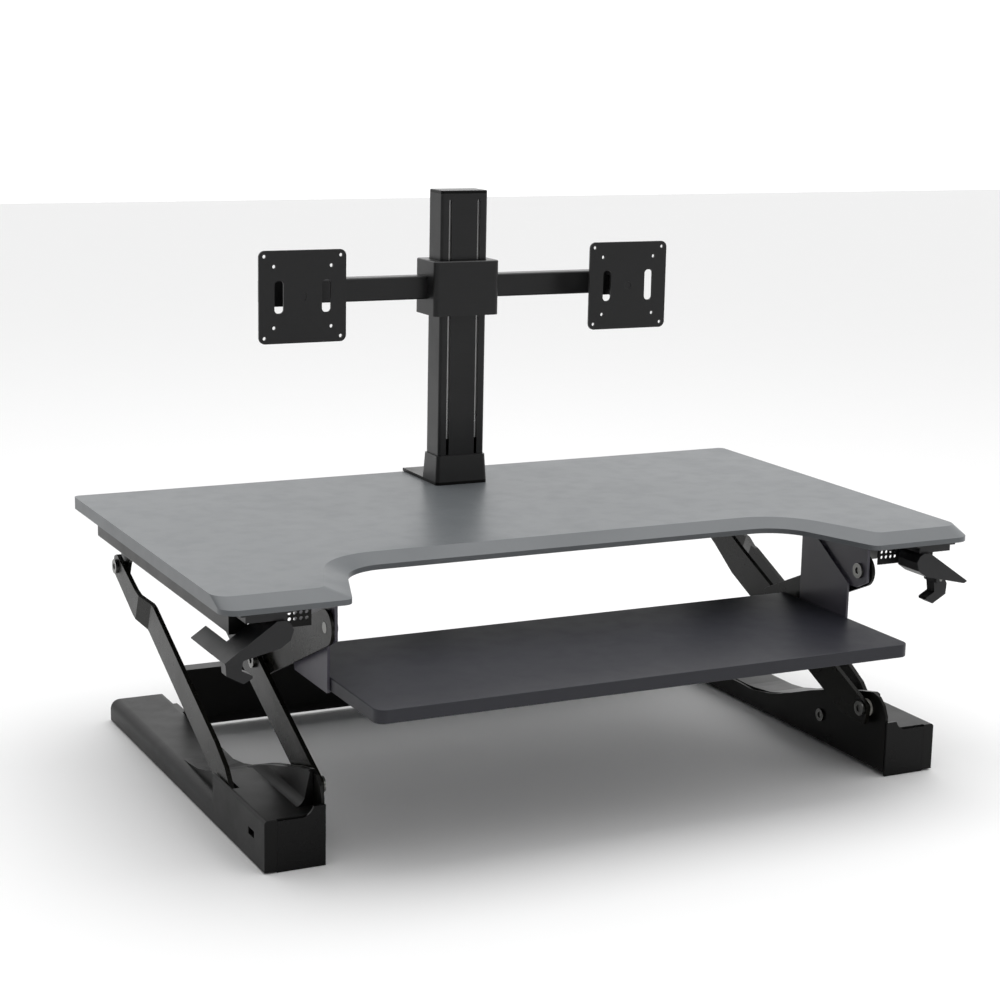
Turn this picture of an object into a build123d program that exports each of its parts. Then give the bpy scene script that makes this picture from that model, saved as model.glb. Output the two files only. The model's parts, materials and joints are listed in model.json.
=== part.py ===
from build123d import *
from math import cos, radians, sin
import os

# Sit-stand desk converter, shown part-way up. Millimetres, +Z up, front towards -Y.
# Y is measured from the middle of the whole depth, Z from the desk that the feet stand on.

# Worksurface
WIDTH = 953.0
BOARD_REAR_Y = 320.5
WING_Y = -252.5
NOTCH_Y = -120.0
WING_X = 334.0
NOTCH_X = 288.0
TOP_Z = 299.0
UNDER_Z = 284.0
EDGE_H = 6.0
BEVEL_RUN = 26.0
BOARD_CORNER_R = 8.0
NOTCH_CORNER_R = 60.0
TIP_R = 12.0
FRONT_CORNER_R = 20.0
TIP_SPREAD = 0.85
NOTCH_SPREAD = 0.6

# Lift linkage: equal half-scissor plus a parallel outer arm on each side
ARM_LENGTH = 430.0
LINK_LENGTH = ARM_LENGTH / 2
REST_ANGLE = 24.0
ALONG_Y = cos(radians(REST_ANGLE))
ALONG_Z = sin(radians(REST_ANGLE))
LOWER_PIVOT = (-213.0, 76.0)
OUTER_LOWER_PIVOT = (-125.0, 42.0)
MID_PIVOT = (LOWER_PIVOT[0] + LINK_LENGTH * ALONG_Y, LOWER_PIVOT[1] + LINK_LENGTH * ALONG_Z)
REAR_PIVOT = (LOWER_PIVOT[0] + ARM_LENGTH * ALONG_Y, LOWER_PIVOT[1] + ARM_LENGTH * ALONG_Z)
FRONT_PIVOT = (LOWER_PIVOT[0], REAR_PIVOT[1])
OUTER_REAR_PIVOT = (
    OUTER_LOWER_PIVOT[0] + ARM_LENGTH * ALONG_Y,
    OUTER_LOWER_PIVOT[1] + ARM_LENGTH * ALONG_Z,
)

# Plates, by distance from the middle plane to the inboard face
HANGER_X = 337.0
HANGER_T = 3.0
SHELF_X = (HANGER_X - 19.0, HANGER_X + 1.0)
SHELF_T = 2.0
BRACKET_X = 341.0
BRACKET_T = 3.5
BRACKET_FLANGE_Y = (-226.0, -135.0)
BRACKET_FLANGE_T = 3.0
FLANGE_W = 22.0
LINK_X = 346.0
LINK_T = 4.0
LINK_W = 40.0
LINK_CHAMFER = 0.6
ARM_X = 354.5
ARM_T = 5.5
WALL_X = 364.5
WALL_T = 3.5
FRAME_BOLTS = ((-116.0, 38.0), (200.0, 16.0))
FRAME_BOLT_R = 3.0
FRAME_HEAD_R = 8.0
FRAME_HEAD_T = 2.6
OUTER_ARM_X = 424.0
OUTER_ARM_REAR_X = 432.0
OUTER_ARM_T = 5.5
STAND_X = 416.0
STAND_T = 4.0
STAND_FOOT_T = 3.0
PIN_R = 6.0
BORE_R = 6.05
HEAD_R = 9.0
HEAD_T = 3.2
WASHER_R = 11.0
TUBE_R = 10.0

# Rails and slider
RAIL_X = 434.0
RAIL_W = 21.0
RAIL_T = 2.0
RAIL_EDGE_R = 2.5
RAIL_Z = 252.0
RAIL_FRONT_Y = -206.0
RAIL_REAR_Y = 288.0
BAR_FRONT_Y = REAR_PIVOT[0] + 28.0
BAR_D = 24.0
BAR_Z = 262.0
BAR_H = 18.0
BAR_WALL = 2.0
BAR_HALF_X = 438.0
SHOE_FRONT_Y = REAR_PIVOT[0] + 10.0
SHOE_L = 58.0
SHOE_W = 14.0
SHOE_GAP = 0.4
LUG_X = 361.0
LUG_T = 4.0
EAR_X = 423.5
EAR_T = 4.5

# Feet
FOOT_FRONT_Y = -255.0
FOOT_REAR_Y = 326.0
BOX_REAR_Y = -87.0
BOX_Z = 59.0
LOW_Z = 28.0
COVER_IN_X = 368.6
COVER_OUT_X = 434.0
COVER_T = 2.2
COVER_BOTTOM_Z = 1.5
RAMP_OUT_X = 421.0
CAP_X = 419.6
CAP_T = 3.0
SADDLE_X = 390.0
SADDLE_R = 16.0
SADDLE_FOOT_X = 378.0
SADDLE_FOOT_Z = 68.0
CAP_Z = 57.0
SOLE_Z = 5.0
SOLE_T = 3.0
PAD_R = 9.0
PAD_SPOTS = [(x, y) for x in (384, 414) for y in (-226, 30, 304)]
SPRING_X = 382.0
SPRING_R = 10.4
SPRING_PITCH = 4.6
SPRING_TURNS = 6
WIRE_R = 1.6

# Cross beam
BEAM_Y = 242.0
BEAM_T = 3.0
BEAM_FLANGE_D = 22.0
BEAM_TOP_Z = 80.0
BEAM_HALF_X = 360.0

# Screws under the board and tray
SCREW_R = 2.0
PAN_HEAD_R = 4.5
PAN_HEAD_T = 2.2
LOW_HEAD_R = 4.0
LOW_HEAD_T = 1.5
RAIL_SCREWS = ((443, -176), (443, -96))
BRACKET_SCREWS = ((357, -212), (357, -150))
TRAY_SCREWS = ((327, -178), (327, -114))

# Keyboard tray
TRAY_HALF_X = 336.6
TRAY_FRONT_Y = -326.0
TRAY_REAR_Y = -64.0
TRAY_TOP_Z = 189.0
TRAY_T = 15.5
TRAY_CORNER_R = 12.0
TRAY_EDGE_R = 1.2
SHELF_Z = TRAY_TOP_Z - TRAY_T - SHELF_T

# Handles and brakes
HUB_TOP_Z = 273.5
STRUT_X = (366.0, 396.0)
STRUT_Y = -216.0
STRUT_Z = 256.0
STRUT_T = 2.0
STRUT_D = 22.0
STRUT_PITCH = 6.5
STRUT_HOLE_R = 2.1
MOUNT_X = (404.0, 450.0)
MOUNT_Y = (-246.0, -212.0)
MOUNT_FLANGE_X = (398.0, 456.0)
MOUNT_FLANGE_Y = (-248.0, -208.0)
MOUNT_FLANGE_T = 3.0
PADDLE_FRONT_Y = -250.0
PADDLE_REAR_Y = -208.0
BLADE_REAR_Y = -140.0
PADDLE_PROFILE = (
    (398.5, 263), (402, 270), (408, HUB_TOP_Z), (417, HUB_TOP_Z), (420, 271.5),
    (476, 233.5), (470, 231.5), (436, 239.3), (413, 244.3), (402, 252),
)
BLADE_PROFILE = ((457, 246.4), (476, 233.5), (470, 231.5), (457, 234.5))
TRIGGER_PROFILE = (
    (446, 236), (456, 237), (461, 232), (465, 226), (464, 212.6), (445, 202),
    (435, 207), (435, 210), (447, 216.6), (445, 230),
)
TRIGGER_SLOT_X = (441.0, 463.0)
TRIGGER_SLOT_Z = (225.0, 238.5)
TRIGGER_FRONT_Y = -224.0
TRIGGER_W = 15.0
TRIGGER_EAR_T = 4.0
TRIGGER_PIVOT = (452.0, 232.5)
TRIGGER_PIN_R = 2.0
PIN_FIT = 0.05
ROD_X = 400.0
ROD_Z = 254.0
ROD_R = 3.0
BRAKE_PIN_R = 3.0
ROD_FRONT_Y = -160.0
ROD_REAR_Y = 285.0
BRAKE_PIVOT = (BAR_FRONT_Y + 8.0, 241.0)

# Monitor column
COLUMN_X = 12.0
COLUMN_Y = 239.0
COLUMN_W = 65.0
COLUMN_D = 40.0
COLUMN_R = 4.0
COLUMN_WALL = 3.0
COLUMN_CAP_T = 4.0
SLOT_X = 20.0
COLUMN_TOP_Z = 676.0
COLLAR_TOP_Z = 337.0
FLANGE_T = 4.0
CLAMP_FRONT_Y = COLUMN_Y - COLUMN_D / 2 - 4.0
CLAMP_REAR_Y = 325.0
CLAMP_SCREW_Y = 296.0
JAW_HALF_W = 26.0
CARRIAGE_Z = 556.0
CARRIAGE_H = 70.0
SLIDE_GAP = 0.3
HEADS_X = (-222.0, 234.0)
SWIVEL_Y = 217.0
TILT_Y = 199.0
CROSSBAR_Y = 232.0
CROSSBAR_D = 22.0
CROSSBAR_H = 30.0
CROSSBAR_WALL = 2.5
SWIVEL_PIN_R = 4.0
TILT_PIN_R = 3.0
TURN_PIN_R = 5.0
PLATE_FRONT_Y = 184.0
PLATE_T = 3.0
PLATE_SIDE = 114.0
VESA_WIDE = 100.0
VESA_NARROW = 75.0
VESA_HOLE_R = 2.25

SIDES = (-1, 1)
HEAD_SIDES = (("left", HEADS_X[0]), ("right", HEADS_X[1]))

os.makedirs("parts", exist_ok=True)


def save(part, name):
    """Name a part and write it as its own node."""
    part.label = name
    export_step(part, f"parts/{name}.step")


def side_plane(x):
    """Plane across the object, x from the middle; sketch x is Y and sketch y is Z."""
    return Plane.YZ.offset(x)


def cross_plane(y):
    """Upright plane facing the front at y; sketch x is X and sketch y is Z."""
    return Plane.XZ.offset(-y)


def on_arm(origin, along, across):
    """Point at a distance along an arm's pivot line and a height above that line."""
    return (
        origin[0] + along * ALONG_Y - across * ALONG_Z,
        origin[1] + along * ALONG_Z + across * ALONG_Y,
    )


def side_outline(x, amount, points, corner_r, holes=(), hole_r=BORE_R, mode=Mode.ADD):
    """Rounded outline with holes in a Y-Z plane, run outwards from distance x."""
    with BuildSketch(side_plane(x)) as outline:
        Polygon(*points, align=None)
        fillet(outline.vertices(), corner_r)
        for hole in holes:
            with Locations(hole):
                Circle(hole_r, mode=Mode.SUBTRACT)
    extrude(outline.sketch, amount=amount, mode=mode)


def cross_outline(y, amount, points, corner_r, holes=(), hole_r=BORE_R, mode=Mode.ADD):
    """Rounded outline with holes in an X-Z plane, run rearwards from y."""
    with BuildSketch(cross_plane(y)) as outline:
        Polygon(*points, align=None)
        fillet(outline.vertices(), corner_r)
        for hole in holes:
            with Locations(hole):
                Circle(hole_r, mode=Mode.SUBTRACT)
    extrude(outline.sketch, amount=-amount, mode=mode)


def box_between(low, high, mode=Mode.ADD):
    """Box given by two opposite corners."""
    centre = tuple((a + b) / 2 for a, b in zip(low, high))
    size = tuple(abs(b - a) for a, b in zip(low, high))
    with Locations(centre):
        Box(*size, mode=mode)


def side_box(x_range, y_range, z_range, mode=Mode.ADD):
    """Box whose X limits are distances from the middle on one side."""
    box_between((x_range[0], y_range[0], z_range[0]), (x_range[1], y_range[1], z_range[1]), mode)


def side_disc(x, amount, spot, radius, mode=Mode.ADD):
    """Round boss or hole across X, run outwards from distance x."""
    with BuildSketch(side_plane(x)) as disc:
        with Locations(spot):
            Circle(radius)
    extrude(disc.sketch, amount=amount, mode=mode)


def hex_socket(x, amount, spot, radius):
    """Hexagon recess in a pin or bolt head."""
    with BuildSketch(side_plane(x)) as socket:
        with Locations(spot):
            RegularPolygon(radius, 6)
    extrude(socket.sketch, amount=amount, mode=Mode.SUBTRACT)


def pivot_bolts(name, spot, in_x, out_x, head_out, both_heads=False):
    """A pair of headed pivot bolts, one a side."""
    with BuildPart() as bolts:
        side_disc(in_x, out_x - in_x, spot, PIN_R)
        if head_out or both_heads:
            side_disc(out_x, HEAD_T, spot, HEAD_R)
            hex_socket(out_x + HEAD_T, -HEAD_T / 2, spot, HEAD_R / 2)
        if both_heads or not head_out:
            side_disc(in_x, -HEAD_T, spot, HEAD_R)
            hex_socket(in_x - HEAD_T, HEAD_T / 2, spot, HEAD_R / 2)
        mirror(about=Plane.YZ)
    save(bolts.part, name)


def screw_holes(spots, z, radius):
    """Upright holes for screws, through whatever lies just above z."""
    with BuildSketch(Plane.XY.offset(z - 1)) as holes:
        with Locations(*spots):
            Circle(radius)
    extrude(holes.sketch, amount=5, mode=Mode.SUBTRACT)


def screw_group(name, spots, z, head_r, head_t, shank_r, shank_l):
    """Pan-head screws pointing up, heads hanging below z."""
    with BuildPart() as screws:
        with BuildSketch(Plane.XY.offset(z)):
            with Locations(*spots):
                Circle(head_r)
        extrude(amount=-head_t)
        with BuildSketch(Plane.XY.offset(z)):
            with Locations(*spots):
                Circle(shank_r)
        extrude(amount=shank_l)
        with BuildSketch(Plane.XY.offset(z - head_t)):
            with Locations(*spots):
                RegularPolygon(head_r / 2, 6)
        extrude(amount=head_t / 2, mode=Mode.SUBTRACT)
    save(screws.part, name)


# ---- Worksurface: a board whose front edge and cut-out fall away in a bevel

with BuildPart() as worksurface:
    for z, inset, notch_r in (
        (UNDER_Z + EDGE_H, 0.0, NOTCH_CORNER_R),
        (TOP_Z, BEVEL_RUN, NOTCH_CORNER_R + BEVEL_RUN),
    ):
        wing_x = WING_X + inset * TIP_SPREAD
        notch_x = NOTCH_X + inset * NOTCH_SPREAD
        wing_y = WING_Y + inset
        notch_y = NOTCH_Y + inset
        with BuildSketch(Plane.XY.offset(z)) as level:
            Polygon(
                (-WIDTH / 2, BOARD_REAR_Y), (-WIDTH / 2, wing_y), (-wing_x, wing_y),
                (-notch_x, notch_y), (notch_x, notch_y), (wing_x, wing_y),
                (WIDTH / 2, wing_y), (WIDTH / 2, BOARD_REAR_Y),
                align=None,
            )
            front = [v for v in level.vertices() if abs(v.Y - wing_y) < 1]
            fillet([v for v in front if abs(v.X) > wing_x + 1], FRONT_CORNER_R)
            fillet([v for v in level.vertices() if abs(abs(v.X) - wing_x) < 0.1], TIP_R)
            fillet([v for v in level.vertices() if abs(v.Y - notch_y) < 0.1], notch_r)
    loft(ruled=True)
    extrude(worksurface.faces().sort_by(Axis.Z)[0], amount=EDGE_H)
    rear_corners = [
        e for e in worksurface.edges().filter_by(Axis.Z)
        if abs(abs(e.center().X) - WIDTH / 2) < 1 and e.center().Y > 0
    ]
    fillet(rear_corners, BOARD_CORNER_R)
save(worksurface.part, "worksurface")

# ---- Keyboard tray

with BuildPart() as keyboard_tray:
    with BuildSketch(Plane.XY.offset(TRAY_TOP_Z - TRAY_T)) as tray_plan:
        with Locations((0, (TRAY_FRONT_Y + TRAY_REAR_Y) / 2)):
            Rectangle(2 * TRAY_HALF_X, TRAY_REAR_Y - TRAY_FRONT_Y)
        fillet(tray_plan.vertices().group_by(Axis.Y)[0], TRAY_CORNER_R)
    extrude(amount=TRAY_T)
    for face in (-1, 0):
        fillet(keyboard_tray.faces().sort_by(Axis.Z)[face].edges(), TRAY_EDGE_R)
save(keyboard_tray.part, "keyboard_tray")

# ---- Side pieces, one of each a side

# Slide rail, a channel open towards the middle
with BuildPart() as rail:
    side_box((RAIL_X, RAIL_X + RAIL_W), (RAIL_FRONT_Y, RAIL_REAR_Y), (RAIL_Z, UNDER_Z))
    side_box(
        (RAIL_X, RAIL_X + RAIL_W - RAIL_T),
        (RAIL_FRONT_Y, RAIL_REAR_Y),
        (RAIL_Z + RAIL_T, UNDER_Z - RAIL_T),
        Mode.SUBTRACT,
    )
    fillet(
        [
            e for e in rail.edges().filter_by(Axis.Y)
            if abs(e.center().X) > RAIL_X + RAIL_W - 0.1 and e.center().Z < RAIL_Z + 1
        ],
        RAIL_EDGE_R,
    )
    side_box(
        (RAIL_X, RAIL_X + RAIL_W), (RAIL_FRONT_Y, RAIL_FRONT_Y + RAIL_T), (RAIL_Z, UNDER_Z)
    )
    screw_holes(RAIL_SCREWS, UNDER_Z - RAIL_T, SCREW_R)
    mirror(about=Plane.YZ)
save(rail.part, "rails")

# Front bracket, an ear with a flange screwed under the board
with BuildPart() as bracket:
    side_outline(
        BRACKET_X, BRACKET_T,
        (
            (-113, UNDER_Z), (-178, 228), (-209, 229), (-229, 239), (-228, UNDER_Z),
        ),
        2.0, (FRONT_PIVOT,),
    )
    side_box(
        (BRACKET_X, BRACKET_X + FLANGE_W), BRACKET_FLANGE_Y, (UNDER_Z - BRACKET_FLANGE_T, UNDER_Z)
    )
    screw_holes(BRACKET_SCREWS, UNDER_Z - BRACKET_FLANGE_T, SCREW_R)
    mirror(about=Plane.YZ)
save(bracket.part, "front_brackets")

# Tray hanger with a top flange and a shelf flange
with BuildPart() as hanger:
    side_outline(
        HANGER_X, HANGER_T,
        (
            (-96, UNDER_Z), (-96, SHELF_Z), (-196, SHELF_Z),
            (-196, 232), (-127, 274), (-122, UNDER_Z),
        ),
        1.5,
    )
    side_box(SHELF_X, (-120, -98), (UNDER_Z - SHELF_T, UNDER_Z))
    side_box(SHELF_X, (-192, -100), (SHELF_Z, SHELF_Z + SHELF_T))
    screw_holes(TRAY_SCREWS, SHELF_Z, SCREW_R)
    mirror(about=Plane.YZ)
save(hanger.part, "tray_hangers")

# Front link between the bracket and the middle of the inner arm
with BuildPart() as link:
    with BuildSketch(side_plane(LINK_X)):
        with Locations(((FRONT_PIVOT[0] + MID_PIVOT[0]) / 2, (FRONT_PIVOT[1] + MID_PIVOT[1]) / 2)):
            SlotCenterToCenter(LINK_LENGTH, LINK_W, rotation=-REST_ANGLE)
        with Locations(FRONT_PIVOT, MID_PIVOT):
            Circle(BORE_R, mode=Mode.SUBTRACT)
    extrude(amount=LINK_T)
    chamfer(link.faces().filter_by(GeomType.PLANE).sort_by(Axis.X)[0].edges(), LINK_CHAMFER)
    mirror(about=Plane.YZ)
save(link.part, "front_links")

# Inner arm
with BuildPart() as inner_arm:
    side_outline(
        ARM_X, ARM_T,
        [
            on_arm(LOWER_PIVOT, along, across)
            for along, across in (
                (-16, -14), (-2, -20), (30, -31), (318, -31), (372, -22), (440, -17), (447, 2),
                (438, 14), (366, 13), (312, 11), (-10, 11),
            )
        ],
        6.0, (LOWER_PIVOT, MID_PIVOT, REAR_PIVOT),
    )
    mirror(about=Plane.YZ)
save(inner_arm.part, "inner_arms")

# Outer arm, cranked outwards near its rear end
with BuildPart() as outer_arm:
    strip = Plane(
        origin=(0, OUTER_LOWER_PIVOT[0], OUTER_LOWER_PIVOT[1]),
        x_dir=(0, ALONG_Y, ALONG_Z),
        z_dir=(0, -ALONG_Z, ALONG_Y),
    )
    with BuildSketch(strip):
        Polygon(
            *(
                (along, -x)
                for along, x in (
                    (-30, OUTER_ARM_X), (316, OUTER_ARM_X), (342, OUTER_ARM_REAR_X),
                    (460, OUTER_ARM_REAR_X), (460, OUTER_ARM_REAR_X + OUTER_ARM_T),
                    (340, OUTER_ARM_REAR_X + OUTER_ARM_T), (314, OUTER_ARM_X + OUTER_ARM_T),
                    (-30, OUTER_ARM_X + OUTER_ARM_T),
                )
            ),
            align=None,
        )
    extrude(amount=50, both=True)
    side_outline(
        OUTER_ARM_X - 5, 30,
        [
            on_arm(OUTER_LOWER_PIVOT, along, across)
            for along, across in (
                (-13, -6), (-4, -11), (10, -11), (60, -10), (310, -10), (352, -15), (440, -14),
                (444, 6), (436, 14), (356, 19), (306, 29), (60, 29), (22, 25), (-10, 11),
            )
        ],
        4.0, (OUTER_LOWER_PIVOT, OUTER_REAR_PIVOT), mode=Mode.INTERSECT,
    )
    mirror(about=Plane.YZ)
save(outer_arm.part, "outer_arms")

# Foot frame: a steel side wall with a sole
with BuildPart() as frame:
    side_outline(
        WALL_X, WALL_T,
        (
            (FOOT_REAR_Y - 3, SOLE_Z), (FOOT_REAR_Y - 3, 27), (74, 27), (43, 26), (6, 32),
            (-25, 40), (-54, 50), (-89, 62.5), (-118, 71.5), (-162, 83), (-194, 92),
            (-222, 98), (-235, 95), (-245, 86.5), (-251, 74), (-251, SOLE_Z),
        ),
        1.0, FRAME_BOLTS, FRAME_BOLT_R + PIN_FIT,
    )
    side_disc(WALL_X, WALL_T, LOWER_PIVOT, BORE_R, Mode.SUBTRACT)
    side_box((WALL_X + 1, 425), (-246, FOOT_REAR_Y - 6), (SOLE_Z, SOLE_Z + SOLE_T))
    mirror(about=Plane.YZ)
save(frame.part, "foot_frames")

# Bracket inside the foot that carries the outer arm
with BuildPart() as arm_bracket:
    side_outline(
        STAND_X, STAND_T,
        ((-150, SOLE_Z + SOLE_T), (-145, 48), (-132, 54), (-116, 54), (-102, 48),
         (-96, SOLE_Z + SOLE_T)),
        3.0, (OUTER_LOWER_PIVOT,),
    )
    side_box((398, 419), (-148, -98), (SOLE_Z + SOLE_T, SOLE_Z + SOLE_T + STAND_FOOT_T))
    mirror(about=Plane.YZ)
save(arm_bracket.part, "arm_brackets")

# Foot cover: a high box in front, a ramp and a low rounded rail behind
with BuildPart() as cover:
    low = (COVER_BOTTOM_Z, LOW_Z)
    side_box((COVER_IN_X, COVER_OUT_X), (BOX_REAR_Y - 4, FOOT_REAR_Y), low)
    fillet(
        [
            e for e in cover.edges().filter_by(Axis.Y)
            if abs(e.center().X) > COVER_OUT_X - 1 and e.center().Z > LOW_Z - 1
        ],
        12,
    )
    fillet(cover.faces().sort_by(Axis.Y)[-1].edges().filter_by(Axis.X).sort_by(Axis.Z)[-1], 8)
    ramp = (
        (62, COVER_BOTTOM_Z), (62, 27.8), (43, 29), (6, 33), (-25, 40.5), (-54, 49.5),
        (BOX_REAR_Y, BOX_Z), (BOX_REAR_Y - 4, BOX_Z), (BOX_REAR_Y - 4, COVER_BOTTOM_Z),
    )
    with BuildSketch(side_plane(COVER_IN_X)):
        Polygon(*ramp, align=None)
    extrude(amount=(RAMP_OUT_X - COVER_IN_X))
    side_box(
        (COVER_IN_X, COVER_OUT_X), (FOOT_FRONT_Y, BOX_REAR_Y), (COVER_BOTTOM_Z, BOX_Z)
    )
    fillet(
        [
            e for e in cover.edges().filter_by(Axis.Y)
            if abs(e.center().X) > COVER_OUT_X - 1 and e.center().Z > BOX_Z - 1
        ],
        4,
    )
    with BuildSketch(cross_plane(BOX_REAR_Y + 20)):
        with BuildLine():
            Polyline(
                (SADDLE_X, BOX_Z - 1), (COVER_IN_X, BOX_Z - 1),
                (COVER_IN_X, 98), (COVER_IN_X + 3, 98), (SADDLE_FOOT_X, SADDLE_FOOT_Z),
            )
            RadiusArc((SADDLE_FOOT_X, SADDLE_FOOT_Z), (SADDLE_X, BOX_Z - 1), -SADDLE_R)
        make_face()
    extrude(amount=160)
    with BuildSketch(side_plane(COVER_IN_X)):
        Polygon(
            (FOOT_REAR_Y, 0), (FOOT_REAR_Y, 40), (-25, 40.5), (-54, 49.8), (-89, 62),
            (-118, 71), (-162, 82.5), (-194, 91.5), (-222, 97.5), (-235, 94.5),
            (-245, 86), (-251, 74), (FOOT_FRONT_Y, 66), (FOOT_FRONT_Y, 0),
            align=None,
        )
    extrude(amount=(COVER_OUT_X - COVER_IN_X), mode=Mode.INTERSECT)
    inner_x = (COVER_IN_X, COVER_OUT_X - COVER_T)
    side_box(
        inner_x, (FOOT_FRONT_Y + COVER_T + CAP_T, BOX_REAR_Y + 3),
        (COVER_BOTTOM_Z, BOX_Z - COVER_T), Mode.SUBTRACT,
    )
    side_box(
        (COVER_IN_X, COVER_OUT_X - 8), (BOX_REAR_Y - 10, FOOT_REAR_Y - COVER_T),
        (COVER_BOTTOM_Z, LOW_Z - COVER_T - 6), Mode.SUBTRACT,
    )
    with BuildSketch(side_plane(COVER_IN_X)):
        Polygon(*((y - 2, max(z - 3, COVER_BOTTOM_Z)) for y, z in ramp), align=None)
    extrude(amount=(RAMP_OUT_X - COVER_T - COVER_IN_X), mode=Mode.SUBTRACT)
    side_box(
        (OUTER_ARM_X - 1.4, OUTER_ARM_X + OUTER_ARM_T + 1.4), (-145, BOX_REAR_Y + 8),
        (29, BOX_Z + 1), Mode.SUBTRACT,
    )
    side_box(
        (COVER_IN_X, CAP_X + 0.2), (FOOT_FRONT_Y - 1, FOOT_FRONT_Y + CAP_T),
        (0, 99), Mode.SUBTRACT,
    )
    side_box(
        (COVER_OUT_X - COVER_T - 1, COVER_OUT_X + 1), (-223, -205), (29, 37),
        Mode.SUBTRACT,
    )
    mirror(about=Plane.YZ)
save(cover.part, "foot_covers")

# Front cap of the foot
with BuildPart() as cap:
    with BuildSketch(cross_plane(FOOT_FRONT_Y + CAP_T)) as cap_face:
        with BuildLine():
            Polyline(
                (SADDLE_X, CAP_Z), (CAP_X, CAP_Z), (CAP_X, 0),
                (WALL_X, 0), (WALL_X, SADDLE_FOOT_Z), (SADDLE_FOOT_X, SADDLE_FOOT_Z),
            )
            RadiusArc((SADDLE_FOOT_X, SADDLE_FOOT_Z), (SADDLE_X, CAP_Z), -SADDLE_R)
        make_face()
    extrude(amount=CAP_T)
    mirror(about=Plane.YZ)
save(cap.part, "foot_caps")

# Perforated plate hanging from a flange between the front bracket and the handle
with BuildPart() as strut:
    side_box(STRUT_X, (STRUT_Y, STRUT_Y + STRUT_T), (STRUT_Z, UNDER_Z))
    side_box(STRUT_X, (STRUT_Y, STRUT_Y + STRUT_D), (UNDER_Z - STRUT_T, UNDER_Z))
    with BuildSketch(cross_plane(STRUT_Y)) as perforation:
        with Locations(((STRUT_X[0] + STRUT_X[1]) / 2, STRUT_Z + 12)):
            with GridLocations(STRUT_PITCH, STRUT_PITCH, 4, 2):
                Circle(STRUT_HOLE_R)
    extrude(perforation.sketch, amount=-STRUT_T, mode=Mode.SUBTRACT)
    mirror(about=Plane.YZ)
save(strut.part, "lever_struts")

# Handle mount under the board
with BuildPart() as mount:
    side_box(MOUNT_FLANGE_X, MOUNT_FLANGE_Y, (UNDER_Z - MOUNT_FLANGE_T, UNDER_Z))
    side_box(MOUNT_X, MOUNT_Y, (HUB_TOP_Z, UNDER_Z - MOUNT_FLANGE_T))
    fillet(mount.edges().filter_by(Axis.Z), 2)
    mirror(about=Plane.YZ)
save(mount.part, "handle_mounts")

# Paddle handle: a thick hub inboard, a thin blade outboard and two ears for the trigger
with BuildPart() as paddle:
    cross_outline(PADDLE_FRONT_Y, PADDLE_REAR_Y - PADDLE_FRONT_Y, PADDLE_PROFILE, 1.2)
    cross_outline(PADDLE_REAR_Y, BLADE_REAR_Y - PADDLE_REAR_Y, BLADE_PROFILE, 1.0)
    side_box(TRIGGER_SLOT_X, (TRIGGER_FRONT_Y - 1, PADDLE_REAR_Y), TRIGGER_SLOT_Z, Mode.SUBTRACT)
    for y in (TRIGGER_FRONT_Y - 1 - TRIGGER_EAR_T, PADDLE_REAR_Y):
        cross_outline(
            y, TRIGGER_EAR_T,
            ((445, 243), (445, 230), (447, 228), (457, 228), (459, 230), (459, 243)),
            1.0, (TRIGGER_PIVOT,), TRIGGER_PIN_R + PIN_FIT,
        )
    mirror(about=Plane.YZ)
save(paddle.part, "paddles")

# Trigger, a hook that the fingers pull up towards the paddle
with BuildPart() as trigger:
    cross_outline(
        TRIGGER_FRONT_Y, TRIGGER_W, TRIGGER_PROFILE, 1.4, (TRIGGER_PIVOT,), TRIGGER_PIN_R + PIN_FIT,
    )
save(trigger.part, "right_trigger")
with BuildPart() as left_trigger:
    mirror(trigger.part, about=Plane.YZ)
save(left_trigger.part, "left_trigger")

# Brake rod under the board, hung from a tab at each end
with BuildPart() as rod:
    with BuildSketch(cross_plane(ROD_FRONT_Y)):
        with Locations((ROD_X, ROD_Z)):
            Circle(ROD_R)
    extrude(amount=ROD_FRONT_Y - ROD_REAR_Y)
    for y in (ROD_FRONT_Y, ROD_REAR_Y - 6):
        side_box((ROD_X - 7, ROD_X + 7), (y, y + 6), (ROD_Z - 6, UNDER_Z))
    mirror(about=Plane.YZ)
save(rod.part, "brake_rods")

# Brake housing and lever on the slider
with BuildPart() as housing:
    side_box(
        (ROD_X - 8, ROD_X + 8), (BAR_FRONT_Y, BAR_FRONT_Y + BAR_D), (246, BAR_Z)
    )
    with BuildSketch(cross_plane(BAR_FRONT_Y - 1)):
        with Locations((ROD_X, ROD_Z)):
            Circle(ROD_R + PIN_FIT)
    extrude(amount=-BAR_D - 2, mode=Mode.SUBTRACT)
    side_box((ROD_X - 8, ROD_X - 4), (BRAKE_PIVOT[0] - 6, BRAKE_PIVOT[0] + 6), (234, 246))
    side_disc(ROD_X - 9, 6, BRAKE_PIVOT, BRAKE_PIN_R + PIN_FIT, Mode.SUBTRACT)
    mirror(about=Plane.YZ)
save(housing.part, "brake_housings")
with BuildPart() as brake_lever:
    side_outline(
        ROD_X - 3.7, 4,
        (
            (BRAKE_PIVOT[0] - 6, 235), (BRAKE_PIVOT[0] + 6, 235), (BRAKE_PIVOT[0] + 6, 244),
            (BRAKE_PIVOT[0] - 6, 244), (BRAKE_PIVOT[0] - 34, 240), (BRAKE_PIVOT[0] - 34, 234),
        ),
        1.5, (BRAKE_PIVOT,), BRAKE_PIN_R + PIN_FIT,
    )
save(brake_lever.part, "right_brake_lever")
with BuildPart() as left_brake_lever:
    mirror(brake_lever.part, about=Plane.YZ)
save(left_brake_lever.part, "left_brake_lever")

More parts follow.
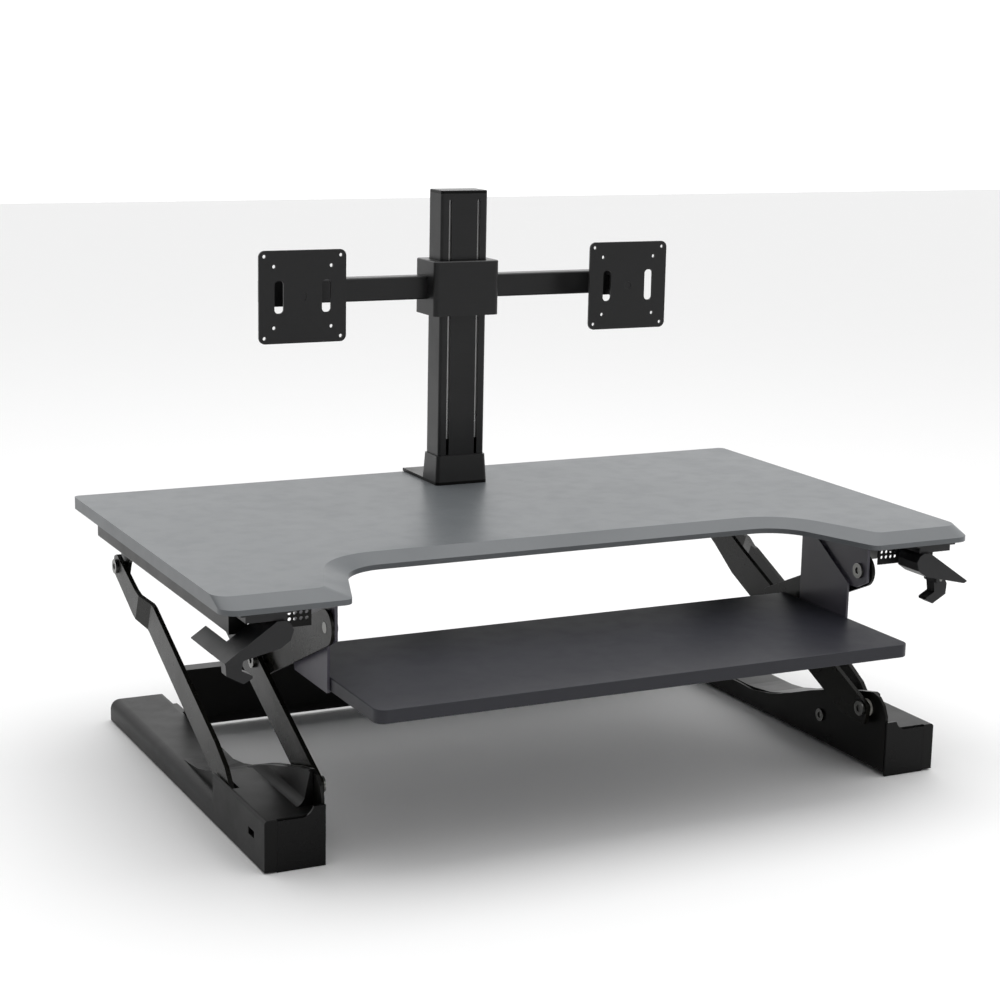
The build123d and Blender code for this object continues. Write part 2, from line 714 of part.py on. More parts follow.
# Torsion spring round the outer arm's pivot axis inside the foot
with BuildPart() as spring:
    with BuildLine() as coil:
        Helix(
            pitch=SPRING_PITCH, height=SPRING_TURNS * SPRING_PITCH, radius=SPRING_R,
            center=(SPRING_X, OUTER_LOWER_PIVOT[0], OUTER_LOWER_PIVOT[1] - 3),
            direction=(1, 0, 0),
        )
    with BuildSketch(Plane(coil.line @ 0, z_dir=coil.line % 0)):
        Circle(WIRE_R)
    sweep()
    mirror(about=Plane.YZ)
save(spring.part, "lift_springs")

# ---- Pieces that join both sides

with BuildPart() as slider_bar:
    box_between(
        (-BAR_HALF_X, BAR_FRONT_Y, BAR_Z),
        (BAR_HALF_X, BAR_FRONT_Y + BAR_D, BAR_Z + BAR_H),
    )
    box_between(
        (-BAR_HALF_X - 1, BAR_FRONT_Y + BAR_WALL, BAR_Z + BAR_WALL),
        (BAR_HALF_X + 1, BAR_FRONT_Y + BAR_D - BAR_WALL, BAR_Z + BAR_H - BAR_WALL),
        Mode.SUBTRACT,
    )
save(slider_bar.part, "slider_bar")

with BuildPart() as slider_lugs:
    y, z = REAR_PIVOT
    side_outline(
        LUG_X, LUG_T,
        (
            (y - 14, z + 4), (y - 6, z + 14), (y + 10, BAR_Z + BAR_H), (BAR_FRONT_Y, BAR_Z + BAR_H),
            (BAR_FRONT_Y, BAR_Z - 4), (y + 12, z - 12), (y - 4, z - 14), (y - 13, z - 6),
        ),
        1.5, (REAR_PIVOT,),
    )
    mirror(about=Plane.YZ)
save(slider_lugs.part, "slider_lugs")

with BuildPart() as slider_ears:
    y, z = OUTER_REAR_PIVOT
    side_outline(
        EAR_X, EAR_T,
        (
            (BAR_FRONT_Y + 2, BAR_Z), (BAR_FRONT_Y + BAR_D, BAR_Z),
            (BAR_FRONT_Y + BAR_D, BAR_Z + BAR_H - 2), (BAR_FRONT_Y + BAR_D + 12, BAR_Z + BAR_H - 2),
            (y + 8, z + 22), (y + 15, z + 5), (y + 12, z - 9), (y, z - 15), (y - 13, z - 7),
            (y - 20, z + 8), (BAR_FRONT_Y + 2, BAR_Z - 8),
        ),
        1.5, (OUTER_REAR_PIVOT,),
    )
    side_box(
        (EAR_X - 1, EAR_X + EAR_T + 1), (BAR_FRONT_Y, BAR_FRONT_Y + BAR_D),
        (BAR_Z, BAR_Z + BAR_H), Mode.SUBTRACT,
    )
    mirror(about=Plane.YZ)
save(slider_ears.part, "slider_ears")

with BuildPart() as shoes:
    side_box(
        (BAR_HALF_X, BAR_HALF_X + SHOE_W - SHOE_GAP), (SHOE_FRONT_Y, SHOE_FRONT_Y + SHOE_L),
        (RAIL_Z + RAIL_T + SHOE_GAP, UNDER_Z - RAIL_T - SHOE_GAP),
    )
    mirror(about=Plane.YZ)
    chamfer(shoes.edges().filter_by(Axis.X), 2)
save(shoes.part, "slider_shoes")

with BuildPart() as beam:
    with BuildSketch(Plane.YZ.offset(-BEAM_HALF_X)):
        Polygon(
            (BEAM_Y, 17), (BEAM_Y, BEAM_TOP_Z), (BEAM_Y + BEAM_FLANGE_D, BEAM_TOP_Z),
            (BEAM_Y + BEAM_FLANGE_D, BEAM_TOP_Z - BEAM_T), (BEAM_Y + BEAM_T, BEAM_TOP_Z - BEAM_T),
            (BEAM_Y + BEAM_T, 17), (BEAM_Y + 12, 3), (BEAM_Y + 8, 3),
            align=None,
        )
    extrude(amount=2 * BEAM_HALF_X)
    side_box((BEAM_HALF_X - 3, WALL_X), (BEAM_Y + 1, BEAM_Y + 40), (9, 25))
    mirror(about=Plane.YZ)
save(beam.part, "cross_beam")

with BuildPart() as tube:
    with BuildSketch(side_plane(-LINK_X + 1)):
        with Locations(MID_PIVOT):
            Circle(TUBE_R)
            Circle(PIN_R, mode=Mode.SUBTRACT)
    extrude(amount=2 * LINK_X - 2)
save(tube.part, "arm_cross_tube")

with BuildPart() as pads:
    with BuildSketch(Plane.XY):
        with Locations(*PAD_SPOTS):
            Circle(PAD_R)
    extrude(amount=SOLE_Z)
    mirror(about=Plane.YZ)
    chamfer(pads.faces().sort_by(Axis.Z)[:12].edges(), 1)
save(pads.part, "rubber_feet")

with BuildPart() as washers:
    side_disc(ARM_X + ARM_T + 0.2, WALL_X - ARM_X - ARM_T - 0.4, LOWER_PIVOT, WASHER_R)
    side_disc(ARM_X, ARM_T + 5, LOWER_PIVOT, BORE_R, Mode.SUBTRACT)
    mirror(about=Plane.YZ)
save(washers.part, "pivot_washers")

pivot_bolts("inner_arm_bolts", LOWER_PIVOT, ARM_X - 0.3, WALL_X + WALL_T, False)
pivot_bolts("mid_pivot_bolts", MID_PIVOT, LINK_X - 20, ARM_X + ARM_T + 0.3, True)
pivot_bolts("front_pivot_bolts", FRONT_PIVOT, BRACKET_X, LINK_X + LINK_T + 0.3, False)
pivot_bolts("rear_pivot_bolts", REAR_PIVOT, ARM_X - 0.3, LUG_X + LUG_T, True, True)
pivot_bolts("outer_rear_bolts", OUTER_REAR_PIVOT, EAR_X, OUTER_ARM_REAR_X + OUTER_ARM_T + 0.3, True)
pivot_bolts("outer_lower_bolts", OUTER_LOWER_PIVOT, STAND_X, OUTER_ARM_X + OUTER_ARM_T + 1.2, False)

with BuildPart() as frame_bolts:
    for spot in FRAME_BOLTS:
        side_disc(WALL_X - FRAME_HEAD_T, FRAME_HEAD_T, spot, FRAME_HEAD_R)
        side_disc(WALL_X, WALL_T, spot, FRAME_BOLT_R)
        hex_socket(WALL_X - FRAME_HEAD_T, FRAME_HEAD_T - 1, spot, FRAME_HEAD_R / 2)
    mirror(about=Plane.YZ)
save(frame_bolts.part, "frame_bolts")

with BuildPart() as trigger_pins:
    pin_front_y = TRIGGER_FRONT_Y - 1 - TRIGGER_EAR_T
    with BuildSketch(cross_plane(pin_front_y)):
        with Locations(TRIGGER_PIVOT):
            Circle(TRIGGER_PIN_R)
    extrude(amount=pin_front_y - PADDLE_REAR_Y - TRIGGER_EAR_T)
    mirror(about=Plane.YZ)
save(trigger_pins.part, "trigger_pins")

with BuildPart() as brake_pins:
    side_disc(ROD_X - 8, 8.6, BRAKE_PIVOT, BRAKE_PIN_R)
    mirror(about=Plane.YZ)
save(brake_pins.part, "brake_pins")

screw_group(
    "rail_screws",
    [(side * x, y) for side in SIDES for x, y in RAIL_SCREWS],
    UNDER_Z - RAIL_T, LOW_HEAD_R, LOW_HEAD_T, SCREW_R, RAIL_T,
)
screw_group(
    "bracket_screws",
    [(side * x, y) for side in SIDES for x, y in BRACKET_SCREWS],
    UNDER_Z - BRACKET_FLANGE_T, PAN_HEAD_R, PAN_HEAD_T, SCREW_R, BRACKET_FLANGE_T,
)
screw_group(
    "tray_screws",
    [(side * x, y) for side in SIDES for x, y in TRAY_SCREWS],
    SHELF_Z, PAN_HEAD_R, PAN_HEAD_T, SCREW_R, SHELF_T,
)

# ---- Monitor column

with BuildPart() as column:
    with BuildSketch(Plane.XY.offset(TOP_Z + FLANGE_T)) as column_plan:
        with Locations((COLUMN_X, COLUMN_Y)):
            RectangleRounded(COLUMN_W, COLUMN_D, COLUMN_R)
            Rectangle(COLUMN_W - 2 * COLUMN_WALL, COLUMN_D - 2 * COLUMN_WALL, mode=Mode.SUBTRACT)
    extrude(amount=COLUMN_TOP_Z - TOP_Z - FLANGE_T)
    for x in (-SLOT_X, SLOT_X):
        box_between(
            (COLUMN_X + x - 2, COLUMN_Y - COLUMN_D / 2 - 1, COLLAR_TOP_Z + 1),
            (COLUMN_X + x + 2, COLUMN_Y - COLUMN_D / 2 + COLUMN_WALL + 1, COLUMN_TOP_Z - 8),
            Mode.SUBTRACT,
        )
save(column.part, "column")

with BuildPart() as strips:
    for x in (-SLOT_X, SLOT_X):
        box_between(
            (COLUMN_X + x - 5, COLUMN_Y - COLUMN_D / 2 + COLUMN_WALL, COLLAR_TOP_Z + 22),
            (COLUMN_X + x + 5, COLUMN_Y - COLUMN_D / 2 + COLUMN_WALL + 1.5, COLUMN_TOP_Z - 4),
        )
save(strips.part, "column_strips")

with BuildPart() as column_cap:
    with BuildSketch(Plane.XY.offset(COLUMN_TOP_Z)):
        with Locations((COLUMN_X, COLUMN_Y)):
            RectangleRounded(COLUMN_W, COLUMN_D, COLUMN_R)
    extrude(amount=COLUMN_CAP_T)
    fillet(column_cap.faces().sort_by(Axis.Z)[-1].edges(), 1.5)
save(column_cap.part, "column_cap")

with BuildPart() as collar:
    with BuildSketch(Plane.XY.offset(TOP_Z + FLANGE_T)):
        with Locations((COLUMN_X, COLUMN_Y)):
            RectangleRounded(COLUMN_W + 8, COLUMN_D + 8, 5)
    with BuildSketch(Plane.XY.offset(COLLAR_TOP_Z)):
        with Locations((COLUMN_X, COLUMN_Y)):
            RectangleRounded(COLUMN_W + 4, COLUMN_D + 4, 5)
    loft(ruled=True)
    with BuildSketch(Plane.XY.offset(TOP_Z + FLANGE_T)):
        with Locations((COLUMN_X, COLUMN_Y)):
            RectangleRounded(COLUMN_W, COLUMN_D, COLUMN_R)
    extrude(amount=COLLAR_TOP_Z - TOP_Z, mode=Mode.SUBTRACT)
save(collar.part, "column_collar")

with BuildPart() as clamp:
    with BuildSketch(Plane.XY.offset(TOP_Z)) as clamp_plan:
        with Locations((COLUMN_X, (CLAMP_FRONT_Y + CLAMP_REAR_Y) / 2)):
            Rectangle(COLUMN_W + 8, CLAMP_REAR_Y - CLAMP_FRONT_Y)
        fillet(clamp_plan.vertices().group_by(Axis.Y)[0], 5)
    extrude(amount=FLANGE_T)
    box_between(
        (COLUMN_X - JAW_HALF_W, BOARD_REAR_Y, 256), (COLUMN_X + JAW_HALF_W, CLAMP_REAR_Y, TOP_Z + FLANGE_T)
    )
    box_between((COLUMN_X - JAW_HALF_W, 276, 252), (COLUMN_X + JAW_HALF_W, CLAMP_REAR_Y, 257))
    with BuildSketch(Plane.XY.offset(251)):
        with Locations((COLUMN_X, CLAMP_SCREW_Y)):
            Circle(4)
    extrude(amount=8, mode=Mode.SUBTRACT)
save(clamp.part, "column_clamp")

with BuildPart() as clamp_screw:
    with BuildSketch(Plane.XY.offset(240)):
        with Locations((COLUMN_X, CLAMP_SCREW_Y)):
            Circle(4)
    extrude(amount=UNDER_Z - 3 - 240)
    with BuildSketch(Plane.XY.offset(UNDER_Z - 3)):
        with Locations((COLUMN_X, CLAMP_SCREW_Y)):
            Circle(13)
    extrude(amount=3)
    with BuildSketch(Plane.XY.offset(230)):
        with Locations((COLUMN_X, CLAMP_SCREW_Y)):
            RegularPolygon(12, 8)
    extrude(amount=11)
save(clamp_screw.part, "clamp_screw")

low_z = CARRIAGE_Z - CARRIAGE_H / 2
with BuildPart() as carriage:
    with BuildSketch(Plane.XY.offset(low_z)) as carriage_plan:
        with Locations((COLUMN_X, COLUMN_Y)):
            RectangleRounded(COLUMN_W + 26, COLUMN_D + 22, 6)
            RectangleRounded(COLUMN_W + 2 * SLIDE_GAP, COLUMN_D + 2 * SLIDE_GAP, COLUMN_R, mode=Mode.SUBTRACT)
    extrude(amount=CARRIAGE_H)
    chamfer(carriage.faces().sort_by(Axis.Z)[-1].edges(), 1)
save(carriage.part, "carriage")

bar_low_z = CARRIAGE_Z - CROSSBAR_H / 2
bar_high_z = CARRIAGE_Z + CROSSBAR_H / 2
bar_rear_y = CROSSBAR_Y + CROSSBAR_D
bar_spans = [
    (COLUMN_X + out * (COLUMN_W / 2 + 13), head_x + out * 30, out)
    for head_x, out in zip(HEADS_X, SIDES)
]

with BuildPart() as crossbars:
    for start_x, end_x, _ in bar_spans:
        low_x, high_x = sorted((start_x, end_x))
        box_between((low_x, CROSSBAR_Y, bar_low_z), (high_x, bar_rear_y, bar_high_z))
    fillet(crossbars.edges().filter_by(Axis.X), 3)
    for start_x, end_x, _ in bar_spans:
        low_x, high_x = sorted((start_x, end_x))
        box_between(
            (low_x, CROSSBAR_Y + CROSSBAR_WALL, bar_low_z + CROSSBAR_WALL),
            (high_x, bar_rear_y - CROSSBAR_WALL, bar_high_z - CROSSBAR_WALL),
            Mode.SUBTRACT,
        )
save(crossbars.part, "crossbars")

with BuildPart() as crossbar_caps:
    for _, end_x, out in bar_spans:
        box_between((end_x, CROSSBAR_Y, bar_low_z), (end_x + out * 3, bar_rear_y, bar_high_z))
    fillet(crossbar_caps.edges().filter_by(Axis.X), 3)
save(crossbar_caps.part, "crossbar_caps")

with BuildPart() as knuckles:
    for head_x in HEADS_X:
        box_between(
            (head_x - 22, CROSSBAR_Y - 4, bar_low_z - 2),
            (head_x + 22, CROSSBAR_Y, bar_high_z + 2),
        )
        for z in (CARRIAGE_Z - 16, CARRIAGE_Z + 10):
            with BuildSketch(Plane.XY.offset(z)):
                with Locations((head_x, SWIVEL_Y)):
                    Circle(9)
                with Locations((head_x, (SWIVEL_Y + CROSSBAR_Y) / 2 - 1)):
                    Rectangle(18, CROSSBAR_Y - SWIVEL_Y)
                with Locations((head_x, SWIVEL_Y)):
                    Circle(SWIVEL_PIN_R, mode=Mode.SUBTRACT)
            extrude(amount=6)
save(knuckles.part, "knuckles")

with BuildPart() as swivel_pins:
    for z, radius, height in (
        (CARRIAGE_Z - 16, SWIVEL_PIN_R, 32), (CARRIAGE_Z + 16, 7, 2.5),
    ):
        with BuildSketch(Plane.XY.offset(z)):
            with Locations(*((head_x, SWIVEL_Y) for head_x in HEADS_X)):
                Circle(radius)
        extrude(amount=height)
save(swivel_pins.part, "swivel_pins")

for label, head_x in HEAD_SIDES:
    # Swivel block with a tongue and the two trunnions that the head tilts on
    with BuildPart() as swivel:
        with BuildSketch(Plane.XY.offset(CARRIAGE_Z - 9.7)):
            with Locations((head_x, SWIVEL_Y)):
                Circle(8)
                Circle(SWIVEL_PIN_R + PIN_FIT, mode=Mode.SUBTRACT)
        extrude(amount=19.4)
        box_between(
            (head_x - 4.5, TILT_Y, CARRIAGE_Z - 6.5),
            (head_x + 4.5, SWIVEL_Y - SWIVEL_PIN_R - 1.5, CARRIAGE_Z + 6.5),
        )
        with BuildSketch(Plane.YZ.offset(head_x - 4.5)):
            with Locations((TILT_Y, CARRIAGE_Z)):
                Circle(6.5)
        extrude(amount=9)
        with BuildSketch(Plane.YZ.offset(head_x - 11)):
            with Locations((TILT_Y, CARRIAGE_Z)):
                Circle(TILT_PIN_R)
        extrude(amount=22)
    save(swivel.part, f"{label}_swivel")

    # Tilt head: a disc with two ears behind and the stud that the plate turns on in front
    with BuildPart() as tilt_head:
        with BuildSketch(cross_plane(PLATE_FRONT_Y + PLATE_T + 5.2)):
            with Locations((head_x, CARRIAGE_Z)):
                Circle(20)
        extrude(amount=2.7)
        with BuildSketch(cross_plane(PLATE_FRONT_Y + PLATE_T + 2.5)):
            with Locations((head_x, CARRIAGE_Z)):
                Circle(TURN_PIN_R)
        extrude(amount=PLATE_T + 2)
        for x in (-9, 5):
            with BuildSketch(Plane.YZ.offset(head_x + x)):
                with Locations((TILT_Y, CARRIAGE_Z)):
                    Circle(6.5)
                with Locations((TILT_Y - 4, CARRIAGE_Z)):
                    Rectangle(8, 13)
                with Locations((TILT_Y, CARRIAGE_Z)):
                    Circle(TILT_PIN_R + PIN_FIT, mode=Mode.SUBTRACT)
            extrude(amount=4)
    save(tilt_head.part, f"{label}_tilt_head")

    # Plate that a monitor is screwed to
    with BuildPart() as plate:
        with BuildSketch(cross_plane(PLATE_FRONT_Y + PLATE_T)):
            with Locations((head_x, CARRIAGE_Z)):
                RectangleRounded(PLATE_SIDE, PLATE_SIDE, 8)
                Circle(TURN_PIN_R + PIN_FIT, mode=Mode.SUBTRACT)
                for pitch in (VESA_WIDE, VESA_NARROW):
                    with GridLocations(pitch, pitch, 2, 2):
                        Circle(VESA_HOLE_R, mode=Mode.SUBTRACT)
                with GridLocations(62, 0, 2, 1):
                    RectangleRounded(12, 40, 5, mode=Mode.SUBTRACT)
        extrude(amount=PLATE_T)
        with BuildSketch(cross_plane(PLATE_FRONT_Y + PLATE_T + 2.2)):
            with Locations((head_x, CARRIAGE_Z)):
                Circle(18)
                Circle(TURN_PIN_R + PIN_FIT, mode=Mode.SUBTRACT)
        extrude(amount=2.2)
    save(plate.part, f"{label}_vesa_plate")
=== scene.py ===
import json
from math import cos, radians, sin

import bpy
from mathutils import Matrix, Vector

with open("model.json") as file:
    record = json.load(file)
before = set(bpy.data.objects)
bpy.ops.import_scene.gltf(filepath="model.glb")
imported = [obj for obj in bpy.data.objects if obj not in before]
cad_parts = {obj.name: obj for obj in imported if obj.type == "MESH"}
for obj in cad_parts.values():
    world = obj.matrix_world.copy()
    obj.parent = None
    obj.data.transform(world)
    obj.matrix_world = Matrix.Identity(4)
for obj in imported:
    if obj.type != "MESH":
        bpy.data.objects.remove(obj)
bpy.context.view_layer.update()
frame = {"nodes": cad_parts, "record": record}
nodes = frame["nodes"]
scene = bpy.context.scene

# Camera fitted to the photograph, in metres and degrees
CAMERA_AT = (-1.1721, -2.2865, 0.8633)
YAW, PITCH, ROLL = radians(26.37), radians(-11.93), radians(1.13)
FOCAL_FRAMES = 2.1582
SENSOR_MM = 36.0

# Base colours, linear
BOARD = (0.112, 0.121, 0.128)
TRAY = (0.018, 0.0185, 0.025)
BLACK = (0.0042, 0.0041, 0.0036)
ARM_BLACK = (0.0085, 0.0082, 0.0064)
PURPLE_GREY = (0.070, 0.066, 0.084)
FOOT = (0.0052, 0.0052, 0.0050)
CAP = (0.0028, 0.0028, 0.0028)
HANDLE = (0.0110, 0.0110, 0.0120)
ZINC = (0.20, 0.20, 0.19)
BRIGHT = (0.38, 0.38, 0.38)
ANODISED = (0.0150, 0.0150, 0.0155)
COLLAR = (0.0170, 0.0170, 0.0170)
RUBBER = (0.012, 0.012, 0.012)
NATURAL = (0.42, 0.41, 0.37)
SPRING_GREY = (0.15, 0.15, 0.15)
WHITE = (1.0, 1.0, 1.0)
FLOOR_WHITE = (0.9, 0.9, 0.9)

# Surface detail, lengths in metres
# Edge tint band: edge wear, and on the tray a painted highlight
WEAR_AND_HIGHLIGHT_RADIUS = 0.0016
WEAR_AND_HIGHLIGHT_STARTS, WEAR_AND_HIGHLIGHT_FULL = 0.97, 0.72
RELIEF_DEPTH = 0.0004
BRUSH_STRETCH = 0.03
GRAIN_DETAIL = 4.0
PATCH_SCALE, PATCH_DETAIL = 9.0, 6.0
SMUDGE_SCALE, SMUDGE_DETAIL = 38.0, 5.0
SMUDGE_ROUGHNESS = 0.05
SOFT_EDGE_ANGLE = radians(28)
SOFT_EDGE_SEGMENTS = 3

# Studio
SKY_TOWARDS = (0.48, 0.48, 0.73)
SKY_DIM, SKY_BRIGHT = 0.05, 1.25
AIM = (0, 0, 0.2)
FLOOR_HALF = 9.0
FLOOR_DROP = 0.0005


def noise(tree, vector, scale, detail):
    """Noise texture fed by a vector socket."""
    node = tree.nodes.new("ShaderNodeTexNoise")
    node.inputs["Scale"].default_value = scale
    node.inputs["Detail"].default_value = detail
    tree.links.new(vector, node.inputs["Vector"])
    return node.outputs["Fac"]


def remap(tree, value, low, high, to_low, to_high):
    """Clamped linear change of range."""
    node = tree.nodes.new("ShaderNodeMapRange")
    node.inputs["From Min"].default_value = low
    node.inputs["From Max"].default_value = high
    node.inputs["To Min"].default_value = to_low
    node.inputs["To Max"].default_value = to_high
    tree.links.new(value, node.inputs["Value"])
    return node.outputs["Result"]


def blend(tree, factor, low, high):
    """Colour mix; each end is a colour or a socket."""
    node = tree.nodes.new("ShaderNodeMix")
    node.data_type = "RGBA"
    tree.links.new(factor, node.inputs["Factor"])
    for name, end in (("A", low), ("B", high)):
        if isinstance(end, tuple):
            node.inputs[name].default_value = (*end, 1)
        else:
            tree.links.new(end, node.inputs[name])
    return node.outputs["Result"]


def combine(tree, operation, first, second):
    """Sum or product of two value sockets."""
    node = tree.nodes.new("ShaderNodeMath")
    node.operation = operation
    tree.links.new(first, node.inputs[0])
    tree.links.new(second, node.inputs[1])
    return node.outputs["Value"]


def edge_mask(tree):
    """White where the bevelled normal leaves the face's own, that is along sharp edges."""
    rounded = tree.nodes.new("ShaderNodeBevel")
    rounded.samples = 4
    rounded.inputs["Radius"].default_value = WEAR_AND_HIGHLIGHT_RADIUS
    geometry = tree.nodes.new("ShaderNodeNewGeometry")
    dot = tree.nodes.new("ShaderNodeVectorMath")
    dot.operation = "DOT_PRODUCT"
    tree.links.new(rounded.outputs["Normal"], dot.inputs[0])
    tree.links.new(geometry.outputs["Normal"], dot.inputs[1])
    return remap(tree, dot.outputs["Value"], WEAR_AND_HIGHLIGHT_STARTS, WEAR_AND_HIGHLIGHT_FULL, 0.0, 1.0)


def surface(
    name, colour, rough, metallic=0.0, bump=0.0, size=400.0, mottle=0.0, brushed=False,
    wear_and_highlight=None, wear_and_highlight_amount=0.5, specular=0.5, patchy=0.04,
):
    """Principled material with fine relief, patchy roughness, mottling and lighter edges, from edge
    wear and, on the tray, a painted highlight.
    """
    mat = bpy.data.materials.new(name)
    mat.use_nodes = True
    tree = mat.node_tree
    shader = tree.nodes["Principled BSDF"]
    shader.inputs["Metallic"].default_value = metallic
    shader.inputs["Specular IOR Level"].default_value = specular
    coords = tree.nodes.new("ShaderNodeTexCoord").outputs["Object"]

    # Fine grain, drawn out along X on a brushed surface
    place = tree.nodes.new("ShaderNodeMapping")
    place.inputs["Scale"].default_value = (size * BRUSH_STRETCH if brushed else size, size, size)
    tree.links.new(coords, place.inputs["Vector"])
    grain = noise(tree, place.outputs["Vector"], 1.0, GRAIN_DETAIL)
    relief = tree.nodes.new("ShaderNodeBump")
    relief.inputs["Strength"].default_value = bump
    relief.inputs["Distance"].default_value = RELIEF_DEPTH
    tree.links.new(grain, relief.inputs["Height"])
    tree.links.new(relief.outputs["Normal"], shader.inputs["Normal"])

    # Roughness that varies in wide patches and small smudges
    patches = noise(tree, coords, PATCH_SCALE, PATCH_DETAIL)
    smudges = noise(tree, coords, SMUDGE_SCALE, SMUDGE_DETAIL)
    wide = remap(tree, patches, 0.3, 0.7, rough - patchy, rough + patchy)
    small = remap(tree, smudges, 0.42, 0.75, 0.0, SMUDGE_ROUGHNESS)
    tree.links.new(combine(tree, "ADD", wide, small), shader.inputs["Roughness"])

    # Mottled colour, lighter along edges: edge wear, and on the tray a painted highlight line
    dark = tuple(c * (1 - mottle) for c in colour)
    light = tuple(min(1, c * (1 + mottle)) for c in colour)
    tint = blend(tree, grain, dark, light)
    if wear_and_highlight:
        wear_and_highlight_patches = remap(tree, smudges, 0.40, 0.66, 0.0, wear_and_highlight_amount)
        tint = blend(tree, combine(tree, "MULTIPLY", edge_mask(tree), wear_and_highlight_patches), tint, wear_and_highlight)
    tree.links.new(tint, shader.inputs["Base Color"])
    return mat


FINISH = {
    "board": surface(
        "laminate_grey", BOARD, 0.36, bump=0.05, size=1400, mottle=0.07, wear_and_highlight=(0.20, 0.21, 0.22),
        specular=0.42, patchy=0.012,
    ),
    # Tray: the light edge colour is a painted highlight line along the front edge, together with edge
    # wear
    "tray": surface(
        "laminate_charcoal", TRAY, 0.42, bump=0.06, size=1400, mottle=0.10, wear_and_highlight=(0.13, 0.13, 0.16),
        wear_and_highlight_amount=0.9, specular=0.35, patchy=0.02,
    ),
    "black_steel": surface(
        "powder_black", BLACK, 0.30, bump=0.10, size=1300, mottle=0.12,
        wear_and_highlight=(0.03, 0.03, 0.027), wear_and_highlight_amount=0.6, specular=0.16,
    ),
    "grey_steel": surface(
        "powder_grey", PURPLE_GREY, 0.36, bump=0.08, size=1300, mottle=0.08,
        wear_and_highlight=(0.14, 0.13, 0.16), wear_and_highlight_amount=0.6, specular=0.4,
    ),
    "foot_plastic": surface(
        "foot_black", FOOT, 0.36, bump=0.12, size=1600, mottle=0.12, wear_and_highlight=(0.02, 0.02, 0.02),
        specular=0.15,
    ),
    "cap_plastic": surface(
        "cap_black", CAP, 0.26, bump=0.05, size=1200, mottle=0.1, wear_and_highlight=(0.015, 0.015, 0.015),
        specular=0.16,
    ),
    "handle_plastic": surface(
        "handle_black", HANDLE, 0.34, bump=0.12, size=1500, mottle=0.12, wear_and_highlight=(0.04, 0.04, 0.044),
        specular=0.35,
    ),
    "zinc_steel": surface(
        "zinc", ZINC, 0.30, metallic=1.0, bump=0.1, size=700, mottle=0.1, wear_and_highlight=(0.6, 0.6, 0.58),
    ),
    "spring_steel": surface(
        "spring", SPRING_GREY, 0.35, metallic=1.0, bump=0.1, size=700, mottle=0.1,
    ),
    "glide_plastic": surface("glide", NATURAL, 0.45, bump=0.05, size=900, mottle=0.05),
    "rubber": surface("rubber_black", RUBBER, 0.8, bump=0.3, size=1100, mottle=0.2),
    "black_alloy": surface(
        "anodised_black", ANODISED, 0.34, metallic=0.3, bump=0.08, size=900, mottle=0.15,
        brushed=True, wear_and_highlight=(0.06, 0.06, 0.06),
    ),
    "bright_alloy": surface(
        "satin_alloy", BRIGHT, 0.28, metallic=1.0, bump=0.1, size=900, mottle=0.05, brushed=True,
    ),
    "plate_alloy": surface(
        "plate_black", ANODISED, 0.40, metallic=0.3, bump=0.1, size=900, mottle=0.15,
        wear_and_highlight=(0.06, 0.06, 0.06),
    ),
}
ARM_FINISH = surface(
    "powder_arm", ARM_BLACK, 0.26, bump=0.07, size=1300, mottle=0.1,
    wear_and_highlight=(0.04, 0.04, 0.034), wear_and_highlight_amount=0.7, specular=0.15,
)
COLLAR_FINISH = surface(
    "collar_black", COLLAR, 0.34, bump=0.05, size=1200, mottle=0.1, wear_and_highlight=(0.04, 0.04, 0.04),
)
SLOT_OF = {part["node"]: part["material_slot"] for part in frame["record"]["subparts"]}

# Nodes whose finish differs from the rest of their slot
OWN_FINISH = {
    "inner_arms": ARM_FINISH, "outer_arms": ARM_FINISH, "front_links": ARM_FINISH,
    "column_collar": COLLAR_FINISH,
}
for node, obj in nodes.items():
    obj.data.materials.clear()
    obj.data.materials.append(OWN_FINISH.get(node) or FINISH[SLOT_OF[node]])

# Edge softening on the CAD nodes, by radius in millimetres
SOFT_EDGES = {
    "worksurface": 1.6, "keyboard_tray": 0.8, "rails": 0.5, "front_brackets": 0.5, "tray_hangers": 0.5,
    "front_links": 0.5, "inner_arms": 0.6, "outer_arms": 0.6, "foot_frames": 0.5, "foot_covers": 1.2,
    "foot_caps": 1.0, "paddles": 2.0, "handle_mounts": 0.8, "left_trigger": 1.0, "right_trigger": 1.0,
    "cross_beam": 0.6, "slider_bar": 0.6, "slider_lugs": 0.4, "slider_ears": 0.4, "lever_struts": 0.4,
    "column": 0.6, "column_collar": 0.8, "column_clamp": 0.7, "carriage": 0.8, "crossbar_caps": 0.6,
    "knuckles": 0.5, "left_vesa_plate": 0.4, "right_vesa_plate": 0.4,
}
for node, radius in SOFT_EDGES.items():
    bevel = nodes[node].modifiers.new("soft_edge", "BEVEL")
    bevel.width = radius / 1000
    bevel.segments = SOFT_EDGE_SEGMENTS
    bevel.limit_method = "ANGLE"
    bevel.angle_limit = SOFT_EDGE_ANGLE
    bevel.harden_normals = True


def stand_light(name, at, size, watts):
    """Soft area light aimed at the object."""
    data = bpy.data.lights.new(name, "AREA")
    data.shape = "RECTANGLE"
    data.size, data.size_y = size
    data.energy = watts
    lamp = bpy.data.objects.new(name, data)
    lamp.location = at
    lamp.rotation_euler = (Vector(AIM) - Vector(at)).to_track_quat("-Z", "Y").to_euler()
    scene.collection.objects.link(lamp)


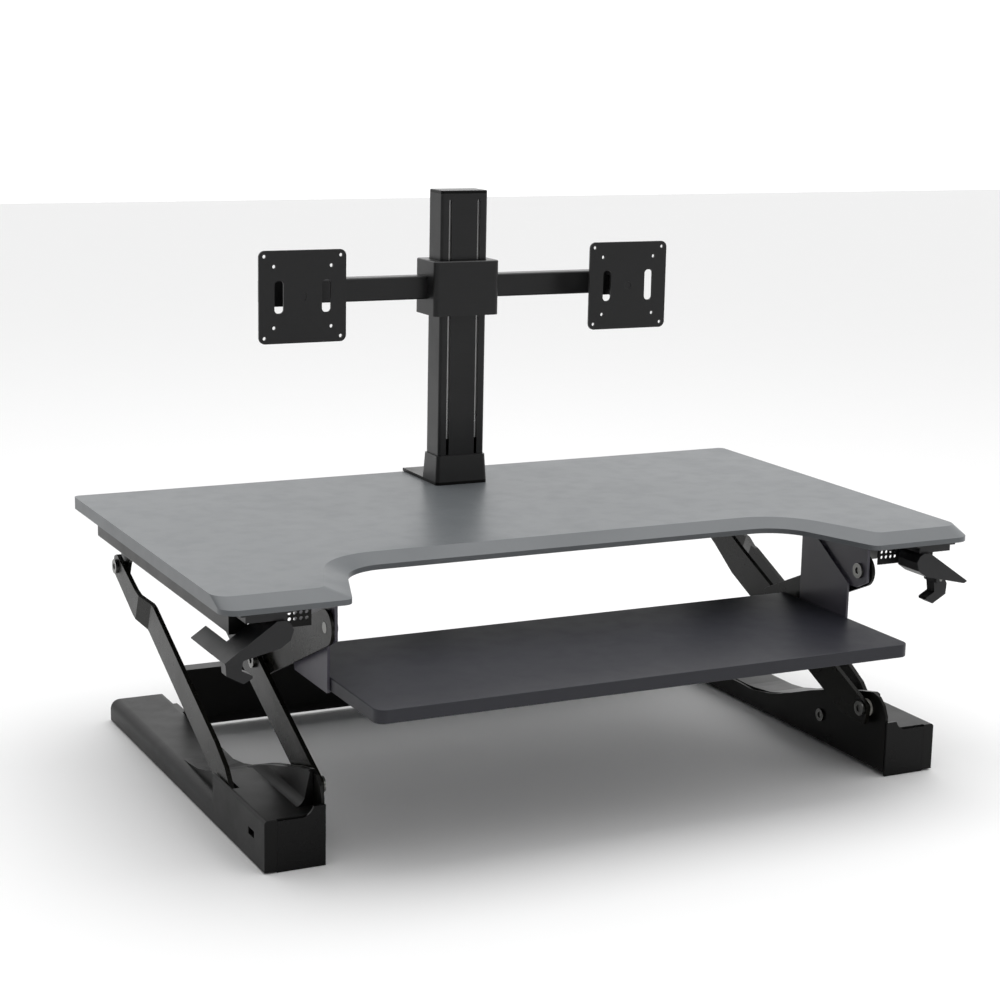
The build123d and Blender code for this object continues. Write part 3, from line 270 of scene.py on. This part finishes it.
# A sky that is bright overhead and behind the object and dimmer towards the viewer
world = bpy.data.worlds.new("studio")
world.use_nodes = True
sky = world.node_tree
facing = sky.nodes.new("ShaderNodeVectorMath")
facing.operation = "DOT_PRODUCT"
facing.inputs[1].default_value = Vector(SKY_TOWARDS).normalized()
sky.links.new(sky.nodes.new("ShaderNodeTexCoord").outputs["Generated"], facing.inputs[0])
level = remap(sky, facing.outputs["Value"], -0.20, 0.60, SKY_DIM, SKY_BRIGHT)
background = sky.nodes["Background"]
background.inputs["Color"].default_value = (*WHITE, 1)
sky.links.new(level, background.inputs["Strength"])
scene.world = world
scene.view_settings.view_transform = "Standard"
stand_light("overhead", (0, 0.3, 2.6), (2.8, 2.2), 26)
stand_light("front_fill", (0.6, -2.6, 1.6), (1.0, 1.0), 4)

floor_mesh = bpy.data.meshes.new("floor")
floor_corners = [
    (-FLOOR_HALF, -FLOOR_HALF, 0), (FLOOR_HALF, -FLOOR_HALF, 0),
    (FLOOR_HALF, FLOOR_HALF, 0), (-FLOOR_HALF, FLOOR_HALF, 0),
]
floor_mesh.from_pydata(floor_corners, [], [(0, 1, 2, 3)])
floor = bpy.data.objects.new("floor", floor_mesh)
scene.collection.objects.link(floor)
floor.location.z = -FLOOR_DROP
floor_mesh.materials.append(surface("floor_pale", FLOOR_WHITE, 0.7, bump=0.02, size=60))

# Camera
camera_data = bpy.data.cameras.new("camera")
camera_data.sensor_width = SENSOR_MM
camera_data.lens = SENSOR_MM * FOCAL_FRAMES
camera_data.clip_end = 60
camera = bpy.data.objects.new("camera", camera_data)
forward = Vector((sin(YAW) * cos(PITCH), cos(YAW) * cos(PITCH), sin(PITCH)))
level_right = Vector((cos(YAW), -sin(YAW), 0))
level_up = level_right.cross(forward)
right = cos(ROLL) * level_right + sin(ROLL) * level_up
up = -sin(ROLL) * level_right + cos(ROLL) * level_up
turn = Matrix((right, up, -forward)).transposed().to_4x4()
camera.matrix_world = Matrix.Translation(CAMERA_AT) @ turn
scene.collection.objects.link(camera)
scene.camera = camera
